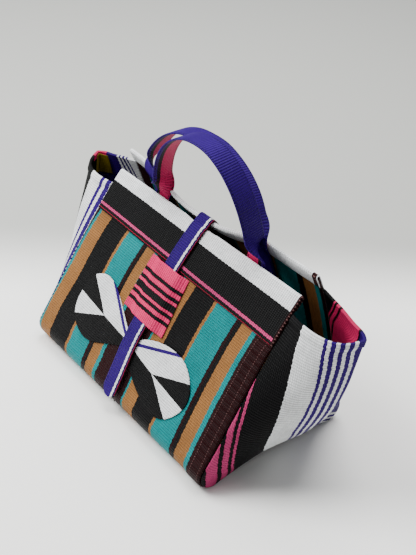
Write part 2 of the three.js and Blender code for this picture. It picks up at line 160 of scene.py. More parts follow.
@dataclass(frozen=True)
class RibWeave:
    """Warp-faced cotton rib weave: matt yarn, stripes along the warp and low ribs across it, with painted shade
    darkening the rib valleys.

    The dyed warp covers the weft, so a stripe's edge steps from rib to rib. The real ribs are
    about 1.5 mm apart. They are drawn 2.6 mm apart, because finer ones don't show at this size.
    The mercerised yarn glints a little, but its fibres shade one another, so its gloss is low and
    black stays deep. UV "cloth" holds millimetres: u across the stripes and v along them.
    """

    name: str
    stripes: tuple[Stripe, ...]
    start: float = 0.0
    rib_pitch: float = 2.6
    rib_depth: float = 0.36
    yarn_pitch: float = 1.9
    yarn_depth: float = 0.13
    step: float = 0.24
    wander: float = 0.7
    shade: float = 0.22
    # Painted shade: how much darker the yarn colour is made in the valleys between ribs.
    valley_shade: float = 0.42
    roughness: float = 0.5
    gloss: float = 0.07

    def stripe_colour(self, tree: bpy.types.NodeTree, u: bpy.types.NodeSocket,
                      v: bpy.types.NodeSocket) -> bpy.types.NodeSocket:
        """Return the yarn colour at a place on the cloth."""
        whole = sum(stripe.width for stripe in self.stripes)
        moved = add(tree, "ShaderNodeMath", {0: u, 1: self.start}, operation="SUBTRACT").outputs[0]
        share = add(tree, "ShaderNodeMath", {0: moved, 1: whole}, operation="DIVIDE").outputs[0]
        ramp = add(tree, "ShaderNodeValToRGB", {"Fac": share})
        fill_ramp(ramp.color_ramp, self.stripes)
        return ramp.outputs["Color"]

    def extras(self, tree: bpy.types.NodeTree, colour: bpy.types.NodeSocket, u: bpy.types.NodeSocket,
               v: bpy.types.NodeSocket) -> bpy.types.NodeSocket:
        """Return the colour with stitches or edges worked over it; plain cloth has none."""
        return colour

    def dots(self, tree: bpy.types.NodeTree, colour: bpy.types.NodeSocket, dye: Dye, away: bpy.types.NodeSocket,
             run: bpy.types.NodeSocket, width: float, pitch: float, filled: float) -> bpy.types.NodeSocket:
        """Work a row of stitches over the colour.

        Args:
            tree: the material's node tree.
            colour: the colour below.
            dye: the thread's dye.
            away: distance from the row, in mm.
            run: distance along the row, in mm.
            width: the row's width, in mm.
            pitch: stitch spacing, in mm.
            filled: share of the pitch that a stitch covers.

        Returns:
            The colour with the stitches.
        """
        distance = add(tree, "ShaderNodeMath", {0: away}, operation="ABSOLUTE").outputs[0]
        near = add(tree, "ShaderNodeMath", {0: distance, 1: width / 2}, operation="LESS_THAN").outputs[0]
        turn = add(tree, "ShaderNodeMath", {0: run, 1: pitch}, operation="PINGPONG").outputs[0]
        on = add(tree, "ShaderNodeMath", {0: turn, 1: pitch * filled}, operation="LESS_THAN").outputs[0]
        mask = add(tree, "ShaderNodeMath", {0: near, 1: on}, operation="MULTIPLY").outputs[0]
        return add(tree, "ShaderNodeMix", {0: mask, 6: colour, 7: linear(dye.value)}, data_type="RGBA").outputs[2]

    def build(self) -> bpy.types.Material:
        """Return the material."""
        material = bpy.data.materials.new(self.name)
        material.use_nodes = True
        tree = material.node_tree
        tree.nodes.clear()
        place = add(tree, "ShaderNodeUVMap", uv_map="cloth").outputs["UV"]
        split = add(tree, "ShaderNodeSeparateXYZ", {"Vector": place})
        u, v = split.outputs["X"], split.outputs["Y"]

        turn = add(tree, "ShaderNodeMath", {0: v, 1: math.pi / self.rib_pitch}, operation="MULTIPLY").outputs[0]
        wave = add(tree, "ShaderNodeMath", {0: turn}, operation="SINE").outputs[0]
        rib = add(tree, "ShaderNodeMath", {0: wave}, operation="ABSOLUTE").outputs[0]
        loose = add(tree, "ShaderNodeVectorMath", {0: place, 1: (0.02, 0.11, 0.0)}, operation="MULTIPLY").outputs[0]
        drift = add(tree, "ShaderNodeTexNoise", {"Vector": loose, "Scale": 1.0, "Detail": 3.0, "Roughness": 0.65})
        wandered = add(tree, "ShaderNodeMapRange", {
            "Value": drift.outputs[0], "From Min": 0.2, "From Max": 0.8, "To Min": -self.wander, "To Max": self.wander,
        }).outputs[0]
        stepped = add(tree, "ShaderNodeMath", {0: wave, 1: self.step, 2: wandered}, operation="MULTIPLY_ADD").outputs[0]
        edge = add(tree, "ShaderNodeMath", {0: u, 1: stepped}, operation="ADD").outputs[0]
        colour = self.extras(tree, self.stripe_colour(tree, edge, v), u, v)

        strands = add(tree, "ShaderNodeVectorMath", {0: place, 1: (0.75, 0.09, 0.0)}, operation="MULTIPLY").outputs[0]
        strand = add(tree, "ShaderNodeTexNoise", {"Vector": strands, "Scale": 1.0, "Detail": 2.0, "Roughness": 0.6})
        patches = add(tree, "ShaderNodeVectorMath", {0: place, 1: (0.03, 0.03, 0.0)}, operation="MULTIPLY").outputs[0]
        patch = add(tree, "ShaderNodeTexNoise", {"Vector": patches, "Scale": 1.0, "Detail": 3.0})
        both = add(tree, "ShaderNodeMath", {0: strand.outputs[0], 1: patch.outputs[0]}, operation="ADD").outputs[0]
        tone = add(tree, "ShaderNodeMapRange", {
            "Value": both, "From Min": 0.65, "From Max": 1.35, "To Min": 1.0 - self.shade, "To Max": 1.0 + self.shade,
        }).outputs[0]
        # Painted shade: the colour is darkened in the valleys between the ribs, where shade falls.
        painted_valley_shade = add(tree, "ShaderNodeMapRange", {
            "Value": rib, "From Min": 0.0, "From Max": 0.7, "To Min": 1.0 - self.valley_shade, "To Max": 1.0,
        }).outputs[0]
        # Random yarn tone, times the painted shade in the rib valleys.
        tone_and_valley_shade = add(tree, "ShaderNodeMath", {0: tone, 1: painted_valley_shade}, operation="MULTIPLY").outputs[0]
        yarn = add(tree, "ShaderNodeMix", {0: 1.0, 6: colour, 7: tone_and_valley_shade}, data_type="RGBA",
                   blend_type="MULTIPLY").outputs[2]

        twist = add(tree, "ShaderNodeMath", {0: edge, 1: 2 * math.pi / self.yarn_pitch}, operation="MULTIPLY").outputs[0]
        cord = add(tree, "ShaderNodeMath", {0: twist}, operation="SINE").outputs[0]
        ribs = add(tree, "ShaderNodeMath", {0: rib, 1: self.rib_depth}, operation="MULTIPLY").outputs[0]
        yarns = add(tree, "ShaderNodeMath", {0: cord, 1: self.yarn_depth, 2: ribs}, operation="MULTIPLY_ADD").outputs[0]
        height = add(tree, "ShaderNodeMath", {0: strand.outputs[0], 1: 0.25, 2: yarns},
                     operation="MULTIPLY_ADD").outputs[0]
        bump = add(tree, "ShaderNodeBump", {"Height": height, "Distance": METRES, "Strength": 0.9}).outputs[0]
        surface = add(tree, "ShaderNodeBsdfPrincipled", {
            "Base Color": yarn, "Roughness": self.roughness, "Specular IOR Level": self.gloss, "Normal": bump,
        }).outputs[0]
        add(tree, "ShaderNodeOutputMaterial", {"Surface": surface})
        return material


@dataclass(frozen=True)
class BandWeave(RibWeave):
    """Rim band cloth: the same rib weave, overlocked in dark thread at its right end."""

    half_width: float = 148.0
    overlock: float = 3.0

    def extras(self, tree: bpy.types.NodeTree, colour: bpy.types.NodeSocket, u: bpy.types.NodeSocket,
               v: bpy.types.NodeSocket) -> bpy.types.NodeSocket:
        """Return the colour with the overlocked right end; the left end is folded in and plain."""
        away = add(tree, "ShaderNodeMath", {0: v, 1: self.half_width}, operation="SUBTRACT").outputs[0]
        dark = self.dots(tree, colour, Dye.MAROON, away, u, self.overlock * 2, 10.0, 1.0)
        return self.dots(tree, dark, Dye.PALE_STITCH, away, u, self.overlock, 1.7, 0.3)


@dataclass(frozen=True)
class BodyWeave(RibWeave):
    """Body cloth: its right edge is turned over in a comb-like hem with two rows of pale stitches."""

    hem_rows: tuple[float, float] = (130.0, 141.5)
    hem_pitch: float = 1.3

    def extras(self, tree: bpy.types.NodeTree, colour: bpy.types.NodeSocket, u: bpy.types.NodeSocket,
               v: bpy.types.NodeSocket) -> bpy.types.NodeSocket:
        """Return the colour with the hem's stitches."""
        for row in self.hem_rows:
            away = add(tree, "ShaderNodeMath", {0: u, 1: row}, operation="SUBTRACT").outputs[0]
            colour = self.dots(tree, colour, Dye.PALE_STITCH, away, v, 0.8, self.hem_pitch, 0.35)
        return colour


@dataclass(frozen=True)
class WingWeave(RibWeave):
    """Wing cloth, with a short pink stretch of hem at the tip where hem_width is above 0."""

    hem_middle: float = 0.0
    hem_width: float = 0.0
    hem_depth: float = 6.5

    def extras(self, tree: bpy.types.NodeTree, colour: bpy.types.NodeSocket, u: bpy.types.NodeSocket,
               v: bpy.types.NodeSocket) -> bpy.types.NodeSocket:
        """Return the colour with the pink hem."""
        if self.hem_width <= 0:
            return colour
        away = add(tree, "ShaderNodeMath", {0: u, 1: self.hem_middle}, operation="SUBTRACT").outputs[0]
        return self.dots(tree, colour, Dye.PINK, away, v, self.hem_width, 500.0, self.hem_depth / 500.0)


@dataclass(frozen=True)
class BowWeave(RibWeave):
    """Bow cloth: its stripes are gathered, so that they fan out from a point in the lobe.

    UV "cloth" holds the place on the front panel: u is x and v is the drop from the rim, in mm.
    """

    apex: tuple[float, float] = (0.0, 0.0)
    turned: float = 0.0
    line_from: tuple[float, float] = (0.0, 0.0)
    line_to: tuple[float, float] = (1.0, 0.0)
    line_width: float = 3.5

    def stripe_colour(self, tree: bpy.types.NodeTree, u: bpy.types.NodeSocket,
                      v: bpy.types.NodeSocket) -> bpy.types.NodeSocket:
        """Return white and black fans round the apex."""
        right = add(tree, "ShaderNodeMath", {0: u, 1: self.apex[0]}, operation="SUBTRACT").outputs[0]
        down = add(tree, "ShaderNodeMath", {0: v, 1: self.apex[1]}, operation="SUBTRACT").outputs[0]
        angle = add(tree, "ShaderNodeMath", {0: down, 1: right}, operation="ARCTAN2").outputs[0]
        shifted = add(tree, "ShaderNodeMath", {0: angle, 1: -math.radians(self.turned)}, operation="ADD").outputs[0]
        round_once = add(tree, "ShaderNodeMath", {0: shifted, 1: 2 * math.pi, 2: 0.0}, operation="WRAP").outputs[0]
        share = add(tree, "ShaderNodeMath", {0: round_once, 1: 2 * math.pi}, operation="DIVIDE").outputs[0]
        ramp = add(tree, "ShaderNodeValToRGB", {"Fac": share})
        fill_ramp(ramp.color_ramp, self.stripes)
        return ramp.outputs["Color"]

    def extras(self, tree: bpy.types.NodeTree, colour: bpy.types.NodeSocket, u: bpy.types.NodeSocket,
               v: bpy.types.NodeSocket) -> bpy.types.NodeSocket:
        """Return the colour with the purple line beside the fans."""
        (x0, y0), (x1, y1) = self.line_from, self.line_to
        length = math.hypot(x1 - x0, y1 - y0)
        across, down = -(y1 - y0) / length, (x1 - x0) / length
        first = add(tree, "ShaderNodeMath", {0: u, 1: across, 2: -(x0 * across + y0 * down)},
                    operation="MULTIPLY_ADD").outputs[0]
        away = add(tree, "ShaderNodeMath", {0: v, 1: down, 2: first}, operation="MULTIPLY_ADD").outputs[0]
        return self.dots(tree, colour, Dye.PURPLE, away, u, self.line_width, 10.0, 1.0)


@dataclass(frozen=True)
class StrapWeave(RibWeave):
    """Face of a doubled woven strap, with a row of stitches near each edge."""

    half_width: float = 12.5
    stitch_inset: float = 1.7
    stitch_pitch: float = 2.0
    stitch_dye: Dye = Dye.DEEP_PURPLE
    rib_pitch: float = 2.6
    rib_depth: float = 0.42
    wander: float = 0.25
    step: float = 0.2

    def extras(self, tree: bpy.types.NodeTree, colour: bpy.types.NodeSocket, u: bpy.types.NodeSocket,
               v: bpy.types.NodeSocket) -> bpy.types.NodeSocket:
        """Return the colour with both rows of stitches."""
        reach = add(tree, "ShaderNodeMath", {0: u}, operation="ABSOLUTE").outputs[0]
        away = add(tree, "ShaderNodeMath", {0: reach, 1: self.half_width - self.stitch_inset},
                   operation="SUBTRACT").outputs[0]
        return self.dots(tree, colour, self.stitch_dye, away, v, 1.1, self.stitch_pitch, 0.55)


BODY_STRIPES = (
    Stripe(Dye.MAROON, 3.6), Stripe(Dye.TEAL, 2.8), Stripe(Dye.TAN, 19.2), Stripe(Dye.BLACK, 30.8),
    Stripe(Dye.TAN, 3.8), Stripe(Dye.TEAL, 28.0), Stripe(Dye.MAROON, 3.4), Stripe(Dye.BLACK, 2.8),
    Stripe(Dye.TAN, 14.0), Stripe(Dye.TEAL, 4.4), Stripe(Dye.MAROON, 48.8), Stripe(Dye.TEAL, 2.8),
    Stripe(Dye.TAN, 17.2), Stripe(Dye.BLACK, 30.2), Stripe(Dye.TAN, 3.8), Stripe(Dye.TEAL, 31.2),
    Stripe(Dye.MAROON, 4.4), Stripe(Dye.BLACK, 4.4), Stripe(Dye.TAN, 16.2), Stripe(Dye.TEAL, 5.8),
    Stripe(Dye.MAROON, 32.0),
)
RIGHT_WING_STRIPES = (
    Stripe(Dye.BLACK, 9.0), Stripe(Dye.MALLOW, 11.5), Stripe(Dye.BLACK, 4.2), Stripe(Dye.MALLOW, 6.3),
    Stripe(Dye.BLACK, 3.5), Stripe(Dye.MALLOW, 3.0), Stripe(Dye.BLACK, 31.0), Stripe(Dye.WHITE, 25.2), Stripe(Dye.PURPLE, 4.2),
    Stripe(Dye.WHITE, 2.9), Stripe(Dye.PURPLE, 4.6), Stripe(Dye.WHITE, 3.2), Stripe(Dye.PURPLE, 4.6),
    Stripe(Dye.WHITE, 3.2), Stripe(Dye.PURPLE, 5.1), Stripe(Dye.WHITE, 3.1), Stripe(Dye.PURPLE, 16.7),
    Stripe(Dye.BLACK, 3.0), Stripe(Dye.PINK, 28.0), Stripe(Dye.BLACK, 3.0), Stripe(Dye.PINK, 4.0),
    Stripe(Dye.BLACK, 3.0), Stripe(Dye.PINK, 1.6), Stripe(Dye.BLACK, 40.0),
)
LEFT_WING_STRIPES = (
    Stripe(Dye.WHITE, 14.0), Stripe(Dye.PURPLE, 6.0), Stripe(Dye.WHITE, 5.0), Stripe(Dye.PURPLE, 5.6),
    Stripe(Dye.WHITE, 20.4), Stripe(Dye.BLACK, 46.0), Stripe(Dye.PURPLE, 24.0),
    Stripe(Dye.WHITE, 2.8), Stripe(Dye.PURPLE, 3.0), Stripe(Dye.WHITE, 2.8), Stripe(Dye.PURPLE, 3.0),
    Stripe(Dye.WHITE, 2.8), Stripe(Dye.PURPLE, 3.0), Stripe(Dye.WHITE, 44.0),
)
BAND_STRIPES = (
    Stripe(Dye.WHITE, 32.8), Stripe(Dye.BLACK, 28.5), Stripe(Dye.MALLOW, 3.2), Stripe(Dye.BLACK, 3.1),
    Stripe(Dye.CRIMSON, 0.5), Stripe(Dye.BLACK, 8.0),
)
KEEPER_STRIPES = (
    Stripe(Dye.PINK, 14.6), Stripe(Dye.BLACK, 4.0), Stripe(Dye.PINK, 4.8), Stripe(Dye.BLACK, 4.0),
    Stripe(Dye.PINK, 3.0), Stripe(Dye.BLACK, 8.0), Stripe(Dye.PINK, 2.8), Stripe(Dye.BLACK, 4.0),
    Stripe(Dye.PINK, 4.2), Stripe(Dye.BLACK, 4.0), Stripe(Dye.PINK, 20.0),
)
HANDLE_OUTER = (Stripe(Dye.PURPLE, 25.0),)
# The inner face's pink is painted darker, as painted shade under the arch.
HANDLE_INNER = (Stripe(Dye.PURPLE, 4.0), Stripe(Dye.BLACK, 4.6), Stripe(Dye.ROSE, 16.4))
TAB_OUTER = (
    Stripe(Dye.PURPLE, 15.4), Stripe(Dye.WHITE, 2.9), Stripe(Dye.DEEP_PURPLE, 2.4), Stripe(Dye.CRIMSON, 0.6),
    Stripe(Dye.MAROON, 0.7),
)
TAB_INNER = (Stripe(Dye.PINK, 10.0), Stripe(Dye.BLACK, 4.0), Stripe(Dye.PURPLE, 8.0))


# Shape of the bag

@dataclass(frozen=True)
class Cloth:
    """Thicknesses and the room at seams, in mm."""

    body: float = 1.6
    band: float = 1.2
    trim: float = 1.2
    handle: float = 2.4
    tab: float = 1.8
    label: float = 0.8
    seam_gap: float = 0.3
    band_ease: float = 0.45
    handle_ease: float = 1.4
    tab_ease: float = 0.8

    @property
    def band_lift(self) -> float:
        """Distance from the panel's middle to the band's middle."""
        return self.body / 2 + self.band_ease + self.band / 2

    @property
    def trim_lift(self) -> float:
        """Distance from the panel's middle to the middle of bow and keeper."""
        return self.body / 2 + self.seam_gap + self.trim / 2

    @property
    def tab_lift(self) -> float:
        """Distance from the panel's middle to the tab's middle."""
        return self.body / 2 + self.band_ease + self.band + self.tab_ease + self.tab / 2

    @property
    def keeper_lift(self) -> float:
        """Distance from the panel's middle to the keeper where it arches over the tab."""
        return self.tab_lift + self.tab / 2 + self.seam_gap + self.trim / 2

    @property
    def handle_lift(self) -> float:
        """Distance from the panel's middle inwards to a handle's middle."""
        return self.body / 2 + self.band_ease + self.band + self.handle_ease + self.handle / 2


@dataclass(frozen=True)
class Base:
    """The base of the bag, in mm."""

    width: float = 300.0
    depth: float = 188.0
    edge_lift: float = 11.0
    flat_share: float = 0.66
    radius: float = 16.0


@dataclass
class Panel:
    """One leaning side of the body, from its rim down into the rounded bottom edge.

    side is -1 at the front and 1 at the back. slack is how far the cloth waves in and out.
    """

    side: int
    rim_width: float
    rim_height: float
    rim_setback: float
    rim_shift: float
    belly: float
    pulled: float
    cloth: Cloth = field(default_factory=Cloth)
    base: Base = field(default_factory=Base)
    pull: float = 13.0
    pull_dip: float = 9.0
    pull_left: float = 88.0
    pull_right: float = 58.0
    pull_centre: float = -3.0
    slack: float = 1.1

    def __post_init__(self) -> None:
        """Work out where the straight cloth touches the rounded bottom edge."""
        radius = self.base.radius
        self.centre = np.array([
            self.side * (self.base.depth / 2 - self.cloth.body / 2 - radius),
            self.cloth.body / 2 + radius,
        ])
        self.rim = np.array([self.rim_setback, self.rim_height])
        to_rim = self.rim - self.centre
        angle = math.atan2(to_rim[1], to_rim[0]) % (2 * math.pi)
        self.touch_angle = angle - self.side * math.acos(radius / np.hypot(*to_rim))
        self.touch = self.centre + radius * np.array([math.cos(self.touch_angle), math.sin(self.touch_angle)])
        self.length = float(np.hypot(*(self.rim - self.touch)))
        self.floor_angle = 1.5 * math.pi if self.side < 0 else -0.5 * math.pi
        self.arc_length = abs(self.floor_angle - self.touch_angle) * radius

    def wave(self, x: Array, share: Array) -> Array:
        """Return how far the cloth stands out of its even shape, in mm."""
        fade = smooth((1 - share) * 3) * smooth((152 - np.abs(x)) / 40)
        even = np.sin(x / 31 + 0.6 + share * 2.1) * 0.6 + np.sin(x / 17 - 1.2 + share * 4.0) * 0.25
        return self.slack * fade * (even + 0.35 * np.sin(share * 9 + x / 60))

    def middle(self, x: Array, drop: Array) -> Array:
        """Return points of the cloth's middle surface.

        Args:
            x: distance from the centre line, right positive.
            drop: distance down the cloth from the rim.

        Returns:
            Points with a last axis of three.
        """
        x, drop = np.broadcast_arrays(np.asarray(x, float), np.asarray(drop, float))
        share = drop / self.length
        down = unit(self.touch - self.rim)
        outward = np.array([-down[1], down[0]]) * self.side
        bulge = 27 / 4 * np.maximum(0, share) * (1 - share) ** 2 * self.belly + self.wave(x, np.minimum(share, 1.0))
        place = self.rim + (self.touch - self.rim) * share[..., None] + outward * bulge[..., None]
        span = np.where(x < self.pull_centre, self.pull_left, self.pull_right)
        pull = self.pulled * np.exp(-((np.abs(x - self.pull_centre) / span) ** 3)) * (1 - share) ** 3
        straight = np.stack([
            x + self.rim_shift * (1 - share), place[..., 0] - self.pull * pull, place[..., 1] - self.pull_dip * pull,
        ], -1)
        angle = self.touch_angle + (drop - self.length) / self.arc_length * (self.floor_angle - self.touch_angle)
        radius = self.base.radius
        rounded = np.stack([
            x, self.centre[0] + radius * np.cos(angle), self.centre[1] + radius * np.sin(angle),
        ], -1)
        return np.where((share >= 1)[..., None], rounded, straight)

    def frame(self, x: Array, drop: Array) -> tuple[Array, Array, Array]:
        """Return points, unit normals away from the bag and unit directions up the cloth."""
        reach = 0.5
        point = self.middle(x, drop)
        up = unit(self.middle(x, drop - reach) - self.middle(x, drop + reach))
        along = unit(self.middle(x + reach, drop) - self.middle(x - reach, drop))
        normal = unit(np.cross(along, up) * -self.side)
        return point, normal, up

    def half_width(self, drop: Array) -> Array:
        """Return half the panel's width at a drop."""
        return lerp(self.rim_width, self.base.width, smooth(np.asarray(drop, float) / self.length)) / 2


class FoldLevel(NamedTuple):
    """Where a wing's fold runs at one level, as shares of the wing's sizes."""

    reach: float
    setback: float
    height: float
    round: float
    flare: float


WING_FOLD = (
    FoldLevel(1.0, 1.0, 1.0, 0.7, 1.0),
    FoldLevel(0.95, 0.9, 0.82, 0.6, 0.7),
    FoldLevel(0.88, 0.78, 0.64, 0.5, 0.4),
    FoldLevel(0.74, 0.6, 0.44, 0.35, 0.2),
    FoldLevel(0.4, 0.32, 0.19, 0.15, 0.0),
    FoldLevel(0.0, 0.0, 0.0, 0.0, 0.0),
)


def fold_value(column: str, down: Array) -> Array:
    """Return a column of the fold's levels at any level, on a smooth curve through them."""
    table = np.array([getattr(level, column) for level in WING_FOLD])
    scaled = np.clip(down, 0, 1) * (len(table) - 1)
    row = np.minimum(len(table) - 2, np.floor(scaled).astype(int))
    share = scaled - row
    before, here, after, beyond = (table[np.clip(row + at, 0, len(table) - 1)] for at in (-1, 0, 1, 2))
    return ((2 * share ** 3 - 3 * share ** 2 + 1) * here + (share ** 3 - 2 * share ** 2 + share) * (after - before) / 2
            + (3 * share ** 2 - 2 * share ** 3) * after + (share ** 3 - share ** 2) * (beyond - here) / 2)


@dataclass
class BagShape:
    """The two leaning panels and the wings between them."""

    cloth: Cloth = field(default_factory=Cloth)
    base: Base = field(default_factory=Base)
    wing_reach: float = 65.0
    wing_height: float = 174.0
    wing_setback: float = 34.0
    front_flare: float = 13.0
    back_flare: float = -3.0
    foot_start: float = 0.5
    hem_drop: float = 15.0
    hem_dip: float = 6.0

    def __post_init__(self) -> None:
        """Make the two panels."""
        self.front = Panel(-1, 296.0, 182.0, 20.0, 0.0, 3.0, 0.0, self.cloth, self.base)
        self.back = Panel(1, 304.0, 197.0, 41.0, -6.0, 4.0, 1.0, self.cloth, self.base)

    def base_edge_lift(self, share: Array) -> Array:
        """Return how far the side edge of the base is off the floor."""
        return self.base.edge_lift * np.sin(np.pi * np.asarray(share, float))

    def body_middle(self, across: Array, station: Array) -> Array:
        """Return points of the body cloth: down the front, under the base and up the back.

        Args:
            across: -1 at the left edge to 1 at the right edge.
            station: 0 to 1 front, to 2 front rounding, to 3 base, to 4 back rounding, to 5 back.
        """
        front_drop = np.where(station < 1, station * self.front.length,
                              self.front.length + (station - 1) * self.front.arc_length)
        back_drop = np.where(station > 4, (5 - station) * self.back.length,
                             self.back.length + (4 - station) * self.back.arc_length)
        front = self.front.middle(across * self.front.half_width(front_drop), front_drop)
        back = self.back.middle(across * self.back.half_width(back_drop), back_drop)
        share = np.clip(station - 2, 0, 1)
        edge = smooth((np.abs(across) - self.base.flat_share) / (1 - self.base.flat_share))
        under = np.stack([
            across * self.base.width / 2,
            lerp(self.front.centre[0], self.back.centre[0], share),
            self.cloth.body / 2 + edge * self.base_edge_lift(share),
        ], -1)
        stage = station[..., None]
        return np.where(stage < 2, front, np.where(stage <= 3, under, back))

    def seam(self, panel: Panel, hand: int, down: Array) -> Array:
        """Return points of the seam between a panel and a wing."""
        whole = panel.length + panel.arc_length - self.hem_drop
        drop = self.hem_drop + whole * down
        clear = self.cloth.seam_gap + self.cloth.body * lerp(0.2, 0.5, down)
        return panel.middle(hand * (panel.half_width(np.minimum(drop, panel.length)) + clear), drop)

    def wing_middle(self, hand: int, across: Array, down: Array) -> Array:
        """Return points of a wing's middle surface.

        Args:
            hand: 1 for the right wing, -1 for the left one.
            across: 0 at the front seam, 0.5 at the fold, 1 at the back seam.
            down: 0 at the hem to 1 at the base.
        """
        across, level = np.broadcast_arrays(np.asarray(across, float), np.clip(np.asarray(down, float), 0, 1))
        front = self.seam(self.front, hand, level)
        back = self.seam(self.back, hand, level)
        half = self.cloth.body / 2
        foot = self.base.width / 2 + self.cloth.seam_gap + half
        fold = np.stack([
            hand * (foot + self.wing_reach * fold_value("reach", level)),
            self.wing_setback * fold_value("setback", level),
            half + (self.wing_height - half) * fold_value("height", level),
        ], -1)
        is_front = across < 0.5
        start = np.where(is_front[..., None], front, back)
        middle = (start + fold) / 2
        corner = np.stack([fold[..., 0], start[..., 1], middle[..., 2]], -1)
        control = middle + (corner - middle) * fold_value("round", level)[..., None]
        flare = fold_value("flare", level)
        control[..., 1] += np.where(is_front, -self.front_flare, self.back_flare) * flare
        control[..., 2] -= self.hem_dip * flare
        share = np.where(is_front, across * 2, (1 - across) * 2)[..., None]
        point = start * (1 - share) ** 2 + control * 2 * share * (1 - share) + fold * share ** 2
        point[..., 2] += self.base_edge_lift(across) * smooth((level - self.foot_start) / (1 - self.foot_start))
        return point

    def wing_frame(self, hand: int, across: Array, down: Array) -> tuple[Array, Array]:
        """Return points of a wing and unit normals away from the bag."""
        reach = 0.01
        level = np.clip(down, reach, 1 - reach)
        column = np.clip(across, reach, 1 - reach)
        fall = self.wing_middle(hand, column, level + reach) - self.wing_middle(hand, column, level - reach)
        run = self.wing_middle(hand, column + reach, level) - self.wing_middle(hand, column - reach, level)
        return self.wing_middle(hand, across, down), unit(np.cross(fall, run) * hand)


@dataclass
class Route:
    """A smooth curve through points, measured by its own length."""

    points: Array
    fineness: int = 24

    def __post_init__(self) -> None:
        """Lay a centripetal curve through the points and measure it."""
        points = np.asarray(self.points, float)
        ends = np.vstack([2 * points[0] - points[1], points, 2 * points[-1] - points[-2]])
        pieces = []
        share = np.linspace(0, 1, self.fineness, endpoint=False)[:, None]
        for at in range(len(points) - 1):
            p0, p1, p2, p3 = ends[at:at + 4]
            t0, t1, t2 = (max(1e-4, float(np.linalg.norm(b - a)) ** 0.5) for a, b in ((p0, p1), (p1, p2), (p2, p3)))
            first = ((p1 - p0) / t0 - (p2 - p0) / (t0 + t1) + (p2 - p1) / t1) * t1
            second = ((p2 - p1) / t1 - (p3 - p1) / (t1 + t2) + (p3 - p2) / t2) * t1
            pieces.append((2 * share ** 3 - 3 * share ** 2 + 1) * p1 + (share ** 3 - 2 * share ** 2 + share) * first
                          + (3 * share ** 2 - 2 * share ** 3) * p2 + (share ** 3 - share ** 2) * second)
        self.line = np.vstack([*pieces, points[-1:]])
        steps = np.linalg.norm(np.diff(self.line, axis=0), axis=1)
        self.reach = np.concatenate([[0.0], np.cumsum(steps)])
        self.length = float(self.reach[-1])

    def at(self, share: Array) -> Array:
        """Return points at shares of the whole length."""
        wanted = np.clip(share, 0, 1) * self.length
        return np.stack([np.interp(wanted, self.reach, self.line[:, axis]) for axis in range(3)], -1)

    def run(self, share: Array) -> Array:
        """Return unit directions along the curve."""
        step = 1.5 / self.length
        return unit(self.at(share + step) - self.at(share - step))


# Making pieces

@dataclass
class Faces:
    """The two faces of a closed cloth, as grids of points in mm, and where the weave lies on them."""

    outer: Array
    inner: Array
    weave: Array
    outer_slot: int = 0
    inner_slot: int = 0
    edge_slot: int = 0
    trim: float = 0.3
    pinch: float = 0.3

    @property
    def middle(self) -> Array:
        """Return the grid halfway between the faces."""
        return (self.outer + self.inner) / 2

    def eased(self, face: Array) -> Array:
        """Return a face drawn in a little at its edges, so that they are rounded."""
        soft = face.copy()
        middle = self.middle
        for edge, within in ((np.s_[0, :], np.s_[1, :]), (np.s_[-1, :], np.s_[-2, :]),
                             (np.s_[:, 0], np.s_[:, 1]), (np.s_[:, -1], np.s_[:, -2])):
            step = face[within] - face[edge]
            length = np.maximum(1e-6, np.linalg.norm(step, axis=-1, keepdims=True))
            soft[edge] = soft[edge] + step / length * np.minimum(self.trim, length * 0.6)
            soft[edge] = lerp(soft[edge], middle[edge], self.pinch)
        return soft

    def mesh(self, name: str) -> bpy.types.Mesh:
        """Return the closed mesh, in metres, with the UV layer "cloth" in mm."""
        rows, columns = self.outer.shape[:2]
        count = rows * columns
        at = np.arange(count).reshape(rows, columns)
        ring = np.concatenate([at[0, :-1], at[:-1, -1], at[-1, :0:-1], at[:0:-1, 0]])
        middle = self.middle.reshape(-1, 3)
        points = np.vstack([self.eased(self.outer).reshape(-1, 3), self.eased(self.inner).reshape(-1, 3), middle[ring]])
        weave = self.weave.reshape(-1, 2)
        layout = np.vstack([weave, weave, weave[ring]])

        first, second, third, fourth = (part.reshape(-1) for part in (at[:-1, :-1], at[:-1, 1:], at[1:, 1:], at[1:, :-1]))
        front = np.stack([first, second, third, fourth], -1)
        back = np.stack([first, fourth, third, second], -1) + count
        following = np.roll(ring, -1)
        rim = np.arange(len(ring)) + 2 * count
        rim_following = np.roll(rim, -1)
        upper = np.stack([following, ring, rim, rim_following], -1)
        lower = np.stack([rim_following, rim, ring + count, following + count], -1)
        quads = np.vstack([front, back, upper, lower])
        turn = np.cross(points[front[:, 1]] - points[front[:, 0]], points[front[:, 3]] - points[front[:, 0]])
        outward = points[front[:, 0]] - points[front[:, 0] + count]
        if float((turn * outward).sum()) < 0:
            quads = quads[:, ::-1]

        mesh = bpy.data.meshes.new(name)
        mesh.vertices.add(len(points))
        mesh.vertices.foreach_set("co", (points * METRES).astype(np.float32).ravel())
        mesh.loops.add(quads.size)
        mesh.loops.foreach_set("vertex_index", quads.astype(np.int32).ravel())
        mesh.polygons.add(len(quads))
        mesh.polygons.foreach_set("loop_start", np.arange(0, quads.size, 4, dtype=np.int32))
        slots = np.concatenate([
            np.full(len(front), self.outer_slot), np.full(len(back), self.inner_slot),
            np.full(len(upper) + len(lower), self.edge_slot),
        ])
        mesh.polygons.foreach_set("material_index", slots.astype(np.int32))
        mesh.polygons.foreach_set("use_smooth", np.ones(len(quads), dtype=bool))
        layer = mesh.uv_layers.new(name="cloth")
        layer.data.foreach_set("uv", layout[quads.ravel()].astype(np.float32).ravel())
        mesh.update(calc_edges=True)
        mesh.validate()
        return mesh


class Held(Enum):
    """How a sheet of cloth is held."""

    STRETCHED = "stretched"
    FOLDED = "folded"
    LAID = "laid"


@dataclass(frozen=True)
class Sewing:
    """What a finished piece is called, what it stands for and how its cloth is held."""

    name: str
    node: str
    slot: str
    held: Held | None = None
    rests_on: tuple[str, ...] = ()


